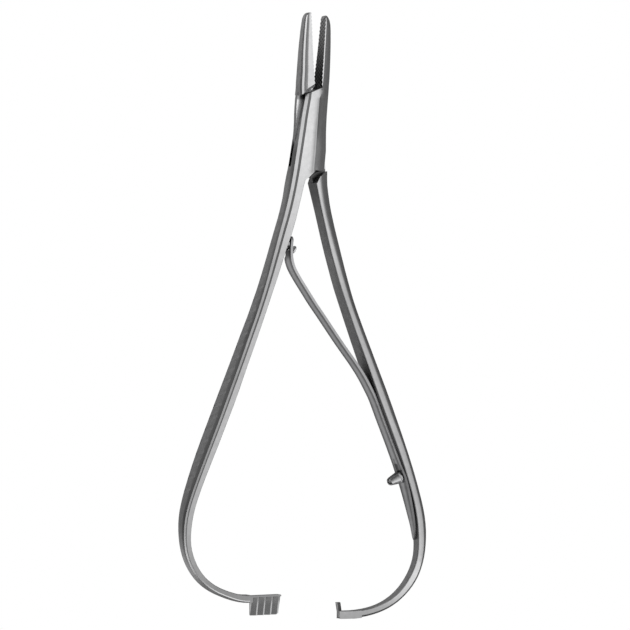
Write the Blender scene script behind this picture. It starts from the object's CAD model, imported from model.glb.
import bpy
import bmesh
import math
from mathutils import Matrix, Vector


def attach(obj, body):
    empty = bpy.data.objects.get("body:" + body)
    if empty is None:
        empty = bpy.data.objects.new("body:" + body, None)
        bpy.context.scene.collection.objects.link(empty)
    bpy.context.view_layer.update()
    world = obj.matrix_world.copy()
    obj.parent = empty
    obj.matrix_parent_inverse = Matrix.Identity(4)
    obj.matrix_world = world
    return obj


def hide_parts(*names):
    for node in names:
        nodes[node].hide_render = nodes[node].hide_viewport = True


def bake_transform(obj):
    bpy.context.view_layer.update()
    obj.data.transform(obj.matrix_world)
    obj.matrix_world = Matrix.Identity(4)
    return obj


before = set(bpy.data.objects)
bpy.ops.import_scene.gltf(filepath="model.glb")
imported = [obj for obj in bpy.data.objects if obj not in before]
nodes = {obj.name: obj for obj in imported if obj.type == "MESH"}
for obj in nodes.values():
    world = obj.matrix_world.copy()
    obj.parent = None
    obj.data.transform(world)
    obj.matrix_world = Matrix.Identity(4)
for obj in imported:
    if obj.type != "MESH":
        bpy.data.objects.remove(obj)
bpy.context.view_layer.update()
MM = 0.001


# ---------------------------------------------------------------- materials
def ramp(nt, value, stops, kind="EASE"):
    """Colour ramp over 0..1 from (position, grey) stops."""
    n = nt.nodes.new("ShaderNodeValToRGB")
    n.color_ramp.interpolation = kind
    e = n.color_ramp.elements
    while len(e) > 1:
        e.remove(e[-1])
    e[0].position = stops[0][0]
    e[0].color = (stops[0][1],) * 3 + (1.0,)
    for pos, g in stops[1:]:
        x = e.new(pos)
        x.color = (g, g, g, 1.0)
    nt.links.new(value, n.inputs["Fac"])
    return n.outputs["Color"]


def maprange(nt, value, f0, f1, t0, t1):
    n = nt.nodes.new("ShaderNodeMapRange")
    n.inputs["From Min"].default_value = f0
    n.inputs["From Max"].default_value = f1
    n.inputs["To Min"].default_value = t0
    n.inputs["To Max"].default_value = t1
    nt.links.new(value, n.inputs["Value"])
    return n.outputs["Result"]


def math_node(nt, op, a, b=None):
    n = nt.nodes.new("ShaderNodeMath")
    n.operation = op
    for k, v in enumerate((a, b)):
        if v is None:
            continue
        if isinstance(v, (int, float)):
            n.inputs[k].default_value = v
        else:
            nt.links.new(v, n.inputs[k])
    return n.outputs[0]


def steel(name, tone, rough, grain=(2600.0, 60.0, 2600.0), bump=0.04, spread=0.05, cloud=0.05, flank=0.0,
          along=None, left=None, crevice=0.0, facet=None, bands=None, crease=None, spots=()):
    """Satin stainless steel: fine lengthwise grain in the height and in the roughness.
    along: tone over y (mm) of the faces that look up; left: tone over y of those to the left;
    facet: tone over y of the slanted faces between them; bands: tone over z of steep faces;
    crease: (x0, slope, y0, y1, tones over the distance from that line) where the front dulls
    towards a crease; spots: (y0, y1, z0, z1, axis, n0, n1, tone) for single faces."""
    m = bpy.data.materials.new(name)
    m.use_nodes = True
    nt = m.node_tree
    b = nt.nodes["Principled BSDF"]
    b.inputs["Metallic"].default_value = 1.0
    tc = nt.nodes.new("ShaderNodeTexCoord")
    mp = nt.nodes.new("ShaderNodeMapping")
    mp.inputs["Scale"].default_value = grain
    nt.links.new(tc.outputs["Object"], mp.inputs["Vector"])
    n1 = nt.nodes.new("ShaderNodeTexNoise")
    n1.inputs["Scale"].default_value = 1.0
    n1.inputs["Detail"].default_value = 3.0
    nt.links.new(mp.outputs["Vector"], n1.inputs["Vector"])
    n2 = nt.nodes.new("ShaderNodeTexNoise")
    n2.inputs["Scale"].default_value = 900.0
    n2.inputs["Detail"].default_value = 4.0
    nt.links.new(tc.outputs["Object"], n2.inputs["Vector"])
    sep = nt.nodes.new("ShaderNodeSeparateXYZ")
    nt.links.new(tc.outputs["Object"], sep.inputs["Vector"])
    rr = maprange(nt, n1.outputs["Fac"], 0.0, 1.0, rough - spread, rough + spread)
    geo = nt.nodes.new("ShaderNodeNewGeometry")
    tr = nt.nodes.new("ShaderNodeVectorTransform")
    tr.vector_type = "NORMAL"
    tr.convert_from = "WORLD"
    tr.convert_to = "OBJECT"
    nt.links.new(geo.outputs["True Normal"], tr.inputs["Vector"])
    sn = nt.nodes.new("ShaderNodeSeparateXYZ")
    nt.links.new(tr.outputs["Vector"], sn.inputs["Vector"])
    steep = maprange(nt, math_node(nt, "ABSOLUTE", sn.outputs["Z"]), 0.04, 0.15, 1.0, 0.0)
    # the flanks are left a little rougher and less even than the ground front
    n3 = maprange(nt, n2.outputs["Fac"], 0.3, 0.7, -1.0, 1.0)
    amp = maprange(nt, steep, 0.0, 1.0, cloud, cloud * 2.4)
    tone_f = math_node(nt, "ADD", 1.0, math_node(nt, "MULTIPLY", n3, amp))
    if flank:
        rr = math_node(nt, "ADD", rr, math_node(nt, "MULTIPLY", steep, flank))
    y01 = maprange(nt, sep.outputs["Y"], -0.112, 0.030, 0.0, 1.0)
    if along:
        up = maprange(nt, sn.outputs["Z"], 0.93 if facet else 0.25, 0.97 if facet else 0.5, 0.0, 1.0)
        f = ramp(nt, y01, [((y + 112.0) / 142.0, g) for y, g in along], "LINEAR")
        f = math_node(nt, "SUBTRACT", 1.0, math_node(nt, "MULTIPLY", up, math_node(nt, "SUBTRACT", 1.0, f)))
        tone_f = math_node(nt, "MULTIPLY", tone_f, f)
    if left:
        lf = maprange(nt, sn.outputs["X"], -0.85, -0.6, 1.0, 0.0)
        f = ramp(nt, y01, [((y + 112.0) / 142.0, g) for y, g in left], "LINEAR")
        f = math_node(nt, "SUBTRACT", 1.0, math_node(nt, "MULTIPLY", lf, math_node(nt, "SUBTRACT", 1.0, f)))
        tone_f = math_node(nt, "MULTIPLY", tone_f, f)
    if facet:
        rise = maprange(nt, sn.outputs["Z"], 0.25, 0.45, 0.0, 1.0)
        fall = maprange(nt, sn.outputs["Z"], 0.93, 0.97, 1.0, 0.0)
        on = math_node(nt, "MULTIPLY", rise, fall)
        f = ramp(nt, y01, [((y + 112.0) / 142.0, g) for y, g in facet], "LINEAR")
        f = math_node(nt, "SUBTRACT", 1.0, math_node(nt, "MULTIPLY", on, math_node(nt, "SUBTRACT", 1.0, f)))
        tone_f = math_node(nt, "MULTIPLY", tone_f, f)
    if crease:
        x0, slope, ya, yb, stops = crease
        u = math_node(nt, "SUBTRACT", sep.outputs["X"], math_node(nt, "MULTIPLY", sep.outputs["Y"], slope))
        u = math_node(nt, "SUBTRACT", u, x0 * MM)
        u01 = maprange(nt, u, -0.002, 0.001, 0.0, 1.0)
        f = ramp(nt, u01, [((d + 2.0) / 3.0, g) for d, g in stops], "LINEAR")
        on = math_node(nt, "MULTIPLY", maprange(nt, sn.outputs["Z"], 0.9, 0.95, 0.0, 1.0),
                       math_node(nt, "MULTIPLY", maprange(nt, sep.outputs["Y"], (ya - 0.6) * MM, ya * MM, 0.0, 1.0),
                                 maprange(nt, sep.outputs["Y"], yb * MM, (yb + 0.6) * MM, 1.0, 0.0)))
        f = math_node(nt, "SUBTRACT", 1.0, math_node(nt, "MULTIPLY", on, math_node(nt, "SUBTRACT", 1.0, f)))
        tone_f = math_node(nt, "MULTIPLY", tone_f, f)
    for ya, yb, za, zb, axis, na, nb, tone_s in spots:
        on = math_node(nt, "MULTIPLY", maprange(nt, sep.outputs["Y"], (ya - 0.3) * MM, ya * MM, 0.0, 1.0),
                       maprange(nt, sep.outputs["Y"], yb * MM, (yb + 0.3) * MM, 1.0, 0.0))
        on = math_node(nt, "MULTIPLY", on, maprange(nt, sep.outputs["Z"], za * MM, (za + 0.1) * MM, 0.0, 1.0))
        on = math_node(nt, "MULTIPLY", on, maprange(nt, sep.outputs["Z"], zb * MM, (zb + 0.1) * MM, 1.0, 0.0))
        on = math_node(nt, "MULTIPLY", on, maprange(nt, sn.outputs[axis], na, nb, 0.0, 1.0))
        tone_f = math_node(nt, "MULTIPLY", tone_f, math_node(nt, "SUBTRACT", 1.0, math_node(nt, "MULTIPLY", on, 1.0 - tone_s)))
    if bands:
        on = maprange(nt, math_node(nt, "ABSOLUTE", sn.outputs["Z"]), 0.1, 0.3, 1.0, 0.0)
        z01 = maprange(nt, sep.outputs["Z"], 0.0, 0.006, 0.0, 1.0)
        f = ramp(nt, z01, [(z / 6.0, g) for z, g in bands], "LINEAR")
        f = math_node(nt, "SUBTRACT", 1.0, math_node(nt, "MULTIPLY", on, math_node(nt, "SUBTRACT", 1.0, f)))
        tone_f = math_node(nt, "MULTIPLY", tone_f, f)
    if crevice:
        ao = nt.nodes.new("ShaderNodeAmbientOcclusion")
        ao.inputs["Distance"].default_value = 0.0025
        ao.samples = 8
        tone_f = math_node(nt, "MULTIPLY", tone_f, maprange(nt, ao.outputs["AO"], 0.15, 0.62, 1.0 - crevice, 1.0))
    tone_f = math_node(nt, "MINIMUM", tone_f, 1.0 / max(tone))
    vm = nt.nodes.new("ShaderNodeVectorMath")
    vm.operation = "SCALE"
    vm.inputs[0].default_value = tone
    nt.links.new(tone_f, vm.inputs["Scale"])
    nt.links.new(vm.outputs["Vector"], b.inputs["Base Color"])
    nt.links.new(rr, b.inputs["Roughness"])
    bp = nt.nodes.new("ShaderNodeBump")
    bp.inputs["Strength"].default_value = bump
    bp.inputs["Distance"].default_value = 0.00002
    nt.links.new(n1.outputs["Fac"], bp.inputs["Height"])
    nt.links.new(bp.outputs["Normal"], b.inputs["Normal"])
    return m


ALONG_LOCK = [(-112, 0.64), (-107.2, 0.66), (-106.6, 0.40), (-103, 0.38), (-100, 0.46), (-90, 0.56), (-84, 0.60), (-74, 0.66), (-65, 0.69), (-47, 0.71),
              (-38, 0.74), (-28, 0.76), (-20, 0.86), (-10, 0.96), (-3, 1.0), (30, 1.0)]
ALONG_TONGUE = [(-112, 0.50), (-109, 0.60), (-107, 0.80), (-102.5, 1.04), (-97.5, 0.86), (-90, 0.78), (-84, 0.74), (-65, 0.72), (-38, 0.68), (-28, 0.84), (-20, 0.84),
                (-12, 0.92), (-5, 1.0), (30, 1.0)]
LEFT_LOCK = [(-112, 1.3), (-103, 1.4), (-98, 2.0), (-95, 1.5), (-90, 1.0), (-84, 0.9), (-47, 0.98), (-28, 1.04), (-12, 1.1), (5, 1.0), (8, 0.9),
             (10, 0.14), (14, 0.14), (17.3, 0.40), (20.7, 0.80), (24.2, 1.1), (27, 1.4)]
LEFT_TONGUE = [(-112, 1.0), (-96, 0.9), (-80, 0.7), (-60, 0.72), (-30, 0.85), (-19, 0.7), (-13, 0.45), (-8, 0.5), (-5, 0.9),
               (8, 1.05), (14, 1.2), (30, 1.45)]
FACET_LOCK = [(-112, 0.8), (-107.4, 0.8), (-106.6, 1.0), (-104, 1.1), (-98, 1.25), (-95, 1.2), (-90, 1.08), (-84, 0.95), (-79, 0.80), (-74, 0.74), (-65, 0.72), (-56, 0.64), (-47, 0.78), (-38, 0.70),
              (-28, 0.74), (-20, 0.84), (-10, 0.96), (-3, 1.0), (30, 1.0)]
LEAF_FRONT = [(-112, 0.33), (-86, 0.33), (-84, 0.36), (-81, 0.32), (-77, 0.34), (-74, 0.6), (-60, 0.62), (-40, 0.68), (-32, 0.82), (-27, 0.72), (-24, 0.6), (30, 0.6)]
LEAF_BANDS = [(1.2, 0.62), (1.8, 0.72), (2.4, 1.45), (3.0, 1.8), (3.5, 1.4), (3.9, 0.76), (4.4, 0.7), (5.0, 0.8)]
TONE = (0.62, 0.62, 0.625)
forged = steel("forged_steel", TONE, 0.25, along=ALONG_LOCK, left=LEFT_LOCK, flank=0.16, crevice=0.9, facet=FACET_LOCK,
               crease=(0.72, 0.105, -8.6, 8.2, [(-2.0, 1.03), (-1.2, 1.02), (-0.9, 0.97), (-0.62, 0.89), (-0.38, 0.76), (-0.12, 0.60), (0.05, 0.72),
                                              (0.3, 0.72), (1.0, 0.86)]),
               spots=((-11.0, -7.3, 3.0, 5.95, "Y", -0.35, -0.6, 0.4),))
forged_t = steel("forged_steel_tongue", TONE, 0.25, along=ALONG_TONGUE, left=LEFT_TONGUE, flank=0.16, crevice=0.9,
                 spots=((8.35, 9.6, 3.0, 3.6, "Z", 0.9, 0.95, 0.5), (0.5, 7.8, 3.0, 3.6, "Z", 0.9, 0.95, 1.25),
                        (-11.5, -7.8, 3.0, 3.6, "Z", 0.9, 0.95, 0.22)))
spring_mat = steel("spring_steel", (0.56, 0.56, 0.57), 0.32, along=LEAF_FRONT, left=[(-112, 0.92), (-84, 0.95), (-80, 1.1), (-29, 1.15), (-27.8, 0.5), (30, 0.45)], crevice=0.92,
                   bands=LEAF_BANDS, spots=((-78.4, -76.2, 2.1, 3.6, "X", -0.3, -0.6, 0.3),
                                            (-78.4, -75.0, 2.3, 3.1, "X", -0.3, -0.6, 0.55)))
stud_mat = steel("stud_steel", (0.72, 0.72, 0.73), 0.24, grain=(1800.0, 1800.0, 1800.0), crevice=0.3)
turned_mat = steel("turned_steel", (0.46, 0.46, 0.465), 0.26, grain=(1800.0, 1800.0, 1800.0), crevice=0.7,
                   spots=((-86.0, -74.0, 0.0, 6.0, "Y", 0.05, 0.45, 0.6), (-86.0, -74.0, 0.0, 6.0, "Y", -0.1, -0.5, 1.45)))


def dressed(name, body, mat, angle=15.0):
    """The part's own surface with every facet edge kept crisp and the runs along it smooth."""
    me = nodes[name].data.copy()
    me.name = name + "_skin"
    me.transform(nodes[name].matrix_world)
    bm = bmesh.new()
    bm.from_mesh(me)
    bmesh.ops.remove_doubles(bm, verts=bm.verts, dist=2e-7)
    for f in bm.faces:
        f.smooth = True
    for e in bm.edges:
        y = (e.verts[0].co.y + e.verts[1].co.y) / 2
        lim = 8.0 if -0.0101 < y < 0.0095 else angle
        e.smooth = len(e.link_faces) == 2 and e.calc_face_angle(3.2) < math.radians(lim)
    clean = bpy.data.meshes.new(name + "_skin")
    bm.to_mesh(clean)
    bm.free()
    bpy.data.meshes.remove(me)
    ob = bpy.data.objects.new(name + "_skin", clean)
    bpy.context.scene.collection.objects.link(ob)
    ob.data.materials.append(mat)
    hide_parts(name)
    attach(ob, body)
    return ob


dressed("box_lock_arm", "lock_half", forged)
dressed("tongue_arm", "tongue_half", forged_t)
for name in ("hinge_pin",):
    nodes[name].data.materials.clear()
    nodes[name].data.materials.append(forged)
for name, mat in (("spring_screw", turned_mat), ("guide_stud", stud_mat)):
    nodes[name].data.materials.clear()
    nodes[name].data.materials.append(mat)


# ---------------------------------------------------------------- leaf spring
# A strip along the same line as the solid that it stands for, with a slotted tip; the
# stretch between the right handle and the left handle's stud bends with the arms.
FACE = [(27.93, -93.92), (27.86, -92.57), (27.68, -91.00), (27.32, -89.25), (26.26, -85.00), (25.14, -80.99),
        (24.03, -77.93), (22.78, -74.86), (21.02, -70.62), (19.03, -66.00), (17.03, -61.24), (15.52, -58.43),
        (13.82, -55.62), (11.81, -52.82), (9.58, -50.02), (7.39, -47.23), (5.29, -44.45), (3.20, -41.68), (1.08,
        -38.91), (-0.88, -36.15), (-2.79, -33.40)]
TIP = [(-4.0, -30.9), (-4.6, -29.4), (-4.84, -28.3), (-4.93, -27.0), (-4.88, -25.3), (-4.66, -23.3)]
THICK, ZMID = 0.60, 2.95
WIDE = [(-93.9, 0.02), (-93.4, 0.40), (-91.6, 0.80), (-88.0, 1.23), (-84.5, 1.55), (-79.0, 2.0), (-75.5, 1.733),
        (-72.0, 1.70), (-24.1, 1.70), (-23.6, 1.35), (-23.3, 0.9)]
BACK = WIDE[:-3] + [(-28.3, 1.70), (-27.7, 0.95), (-23.7, 0.95), (-23.3, 0.6)]


def lerp(x, table):
    if x <= table[0][0]:
        return table[0][1]
    for (x0, v0), (x1, v1) in zip(table, table[1:]):
        if x <= x1:
            return v0 + (v1 - v0) * (x - x0) / (x1 - x0)
    return table[-1][1]


def catmull(points, step):
    """Evenly spaced points on a smooth curve through the given ones, with tangents."""
    P = [Vector((x, y)) for x, y in points]
    P = [P[0] * 2 - P[1]] + P + [P[-1] * 2 - P[-2]]
    dense = []
    for i in range(1, len(P) - 2):
        for k in range(24):
            t = k / 24.0
            a, b, c, d = P[i - 1], P[i], P[i + 1], P[i + 2]
            dense.append(0.5 * ((2 * b) + (c - a) * t + (2 * a - 5 * b + 4 * c - d) * t * t + (3 * b - a - 3 * c + d) * t ** 3))
    dense.append(P[-2])
    run = [0.0]
    for a, b in zip(dense, dense[1:]):
        run.append(run[-1] + (b - a).length)
    n = int(run[-1] / step)
    out, j = [], 0
    for k in range(n + 1):
        s_ = run[-1] * k / n
        while j < len(run) - 2 and run[j + 1] < s_:
            j += 1
        f = (s_ - run[j]) / max(run[j + 1] - run[j], 1e-9)
        out.append(dense[j].lerp(dense[j + 1], f))
    res = []
    for k, q in enumerate(out):
        t = (out[min(k + 1, n)] - out[max(k - 1, 0)]).normalized()
        res.append((q, t))
    return res


def leaf_mesh():
    mids = []
    for i, (x, y) in enumerate(FACE):
        p, q = Vector(FACE[max(i - 1, 0)]), Vector(FACE[min(i + 1, len(FACE) - 1)])
        t = (q - p).normalized()
        mids.append((x + t.y * THICK / 2, y - t.x * THICK / 2))
    rows = catmull(mids + TIP, 0.45)
    # columns across the width, as fractions of it; the middle pair frames the slot
    slot_lo, slot_hi = -0.5, 0.84
    bm = bmesh.new()
    grid = []
    for q, t in rows:
        n = Vector((-t.y, t.x))
        w, wb = lerp(q.y, WIDE), lerp(q.y, BACK)
        s0, s1 = max(slot_lo, -wb * 0.6), min(slot_hi, w * 0.6)
        zs = [-wb, (s0 - wb) / 2, s0, s0 + (s1 - s0) / 4, (s0 + s1) / 2, s1 - (s1 - s0) / 4, s1, (w + s1) / 2, w]
        ring = []
        for side in (1, -1):
            ring.append([bm.verts.new(((q.x + n.x * side * THICK / 2) * MM, (q.y + n.y * side * THICK / 2) * MM, (ZMID + z) * MM)) for z in zs])
        grid.append((q.y, ring))
    cols = 8
    def inside(y0, y1, c):
        return 2 <= c <= 5 and y0 > -26.85 and y1 < -24.25
    for (y0, r0), (y1, r1) in zip(grid, grid[1:]):
        for c in range(cols):
            if inside(y0, y1, c):
                continue
            bm.faces.new((r0[0][c], r0[0][c + 1], r1[0][c + 1], r1[0][c]))
            bm.faces.new((r0[1][c + 1], r0[1][c], r1[1][c], r1[1][c + 1]))
        for c in (0, cols):
            f = (r0[0][c], r1[0][c], r1[1][c], r0[1][c])
            bm.faces.new(f if c == 0 else f[::-1])
    for k, r in ((0, grid[0][1]), (1, grid[-1][1])):
        for c in range(cols):
            f = (r[0][c], r[1][c], r[1][c + 1], r[0][c + 1])
            bm.faces.new(f[::-1] if k else f)
    # walls of the slot
    open_edges = [e for e in bm.edges if len(e.link_faces) == 1]
    pairs = {}
    n_cols = cols + 1
    key = {}
    for ri, (y, ring) in enumerate(grid):
        for side in (0, 1):
            for c, v in enumerate(ring[side]):
                key[v] = (ri, side, c)
    for e in open_edges:
        (ri, sd, c), (rj, sd2, c2) = key[e.verts[0]], key[e.verts[1]]
        if sd == 0 and sd2 == 0:
            a, b = e.verts
            o1, o2 = grid[ri][1][1][c], grid[rj][1][1][c2]
            bm.faces.new((a, b, o2, o1))
    bmesh.ops.recalc_face_normals(bm, faces=bm.faces)
    me = bpy.data.meshes.new("leaf")
    bm.to_mesh(me)
    bm.free()
    return me


leaf = bpy.data.objects.new("leaf", leaf_mesh())
bpy.context.scene.collection.objects.link(leaf)
leaf.data.materials.append(spring_mat)
bev = leaf.modifiers.new("edge", "BEVEL")
bev.width = 0.00006
bev.segments = 2
bev.limit_method = "ANGLE"
bev.angle_limit = math.radians(40)
bpy.context.view_layer.objects.active = leaf
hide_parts("leaf_spring")
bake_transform(leaf)


# ---------------------------------------------------------------- stage
def plane(name, z, size, mat):
    me = bpy.data.meshes.new(name)
    b_ = bmesh.new()
    bmesh.ops.create_grid(b_, x_segments=1, y_segments=1, size=size)
    b_.to_mesh(me)
    b_.free()
    ob = bpy.data.objects.new(name, me)
    ob.location = (0, 0, z)
    me.materials.append(mat)
    bpy.context.scene.collection.objects.link(ob)
    return ob


# the paper that the picture shows: plain white, without a shadow
white = bpy.data.materials.new("paper")
white.use_nodes = True
nt = white.node_tree
nt.nodes.clear()
em = nt.nodes.new("ShaderNodeEmission")
em.inputs["Strength"].default_value = 1.0
out = nt.nodes.new("ShaderNodeOutputMaterial")
nt.links.new(em.outputs[0], out.inputs["Surface"])
paper = plane("paper", -0.0002, 4.0, white)
paper.visible_glossy = False
paper.visible_diffuse = False
paper.visible_shadow = False
# surroundings: one large soft wall on the right and a weaker one low on the left, given
# as brightness over the direction's angle from straight up (toward the left positive)
w = bpy.data.worlds.new("studio")
bpy.context.scene.world = w
w.use_nodes = True
wn = w.node_tree
bg = wn.nodes["Background"]
wtc = wn.nodes.new("ShaderNodeTexCoord")
wsp = wn.nodes.new("ShaderNodeSeparateXYZ")
wn.links.new(wtc.outputs["Generated"], wsp.inputs["Vector"])
neg = math_node(wn, "MULTIPLY", wsp.outputs["X"], -1.0)
ang = math_node(wn, "ARCTAN2", neg, wsp.outputs["Z"])
a01 = maprange(wn, ang, -math.pi, math.pi, 0.0, 1.0)
SKY = [(-180, 0.20), (-140, 0.16), (-100, 0.14), (-80, 0.15), (-64, 0.17), (-56, 0.34), (-50, 0.55), (-44, 0.78), (-36, 1.04),
       (-28, 1.22), (-20, 1.26), (-10, 1.05), (2, 0.55), (12, 0.28), (22, 0.18), (34, 0.18), (46, 0.28), (56, 0.60), (66, 0.94),
       (80, 1.05), (90, 0.66), (98, 0.22), (108, 0.05), (128, 0.06), (142, 0.20), (158, 0.30), (180, 0.20)]
col = ramp(wn, a01, [((a + 180.0) / 360.0, g) for a, g in SKY], "EASE")
wn.links.new(col, bg.inputs["Color"])
bg.inputs["Strength"].default_value = 1.0

# ---------------------------------------------------------------- camera
PHI, DIST = math.radians(28.0), 0.750
target = Vector((0.002086, -0.041446, 0.00295)) + Vector((-0.000115 * math.cos(PHI), 0.000115, -0.000115 * math.sin(PHI)))
back = Vector((-math.sin(PHI), 0, math.cos(PHI)))
right = Vector((math.cos(PHI), 0, math.sin(PHI)))
cam = bpy.data.cameras.new("camera")
cam.sensor_width = 36.0
cam.sensor_fit = "HORIZONTAL"
cam.lens = 36.0 * 750.0 / 145.06
cam.clip_start = 0.02
cam.clip_end = 20.0
co = bpy.data.objects.new("camera", cam)
co.location = target + back * DIST
co.rotation_euler = Matrix((right, Vector((0, 1, 0)), back)).transposed().to_euler()
bpy.context.scene.collection.objects.link(co)
bpy.context.scene.camera = co
bpy.context.scene.view_settings.view_transform = "Standard"
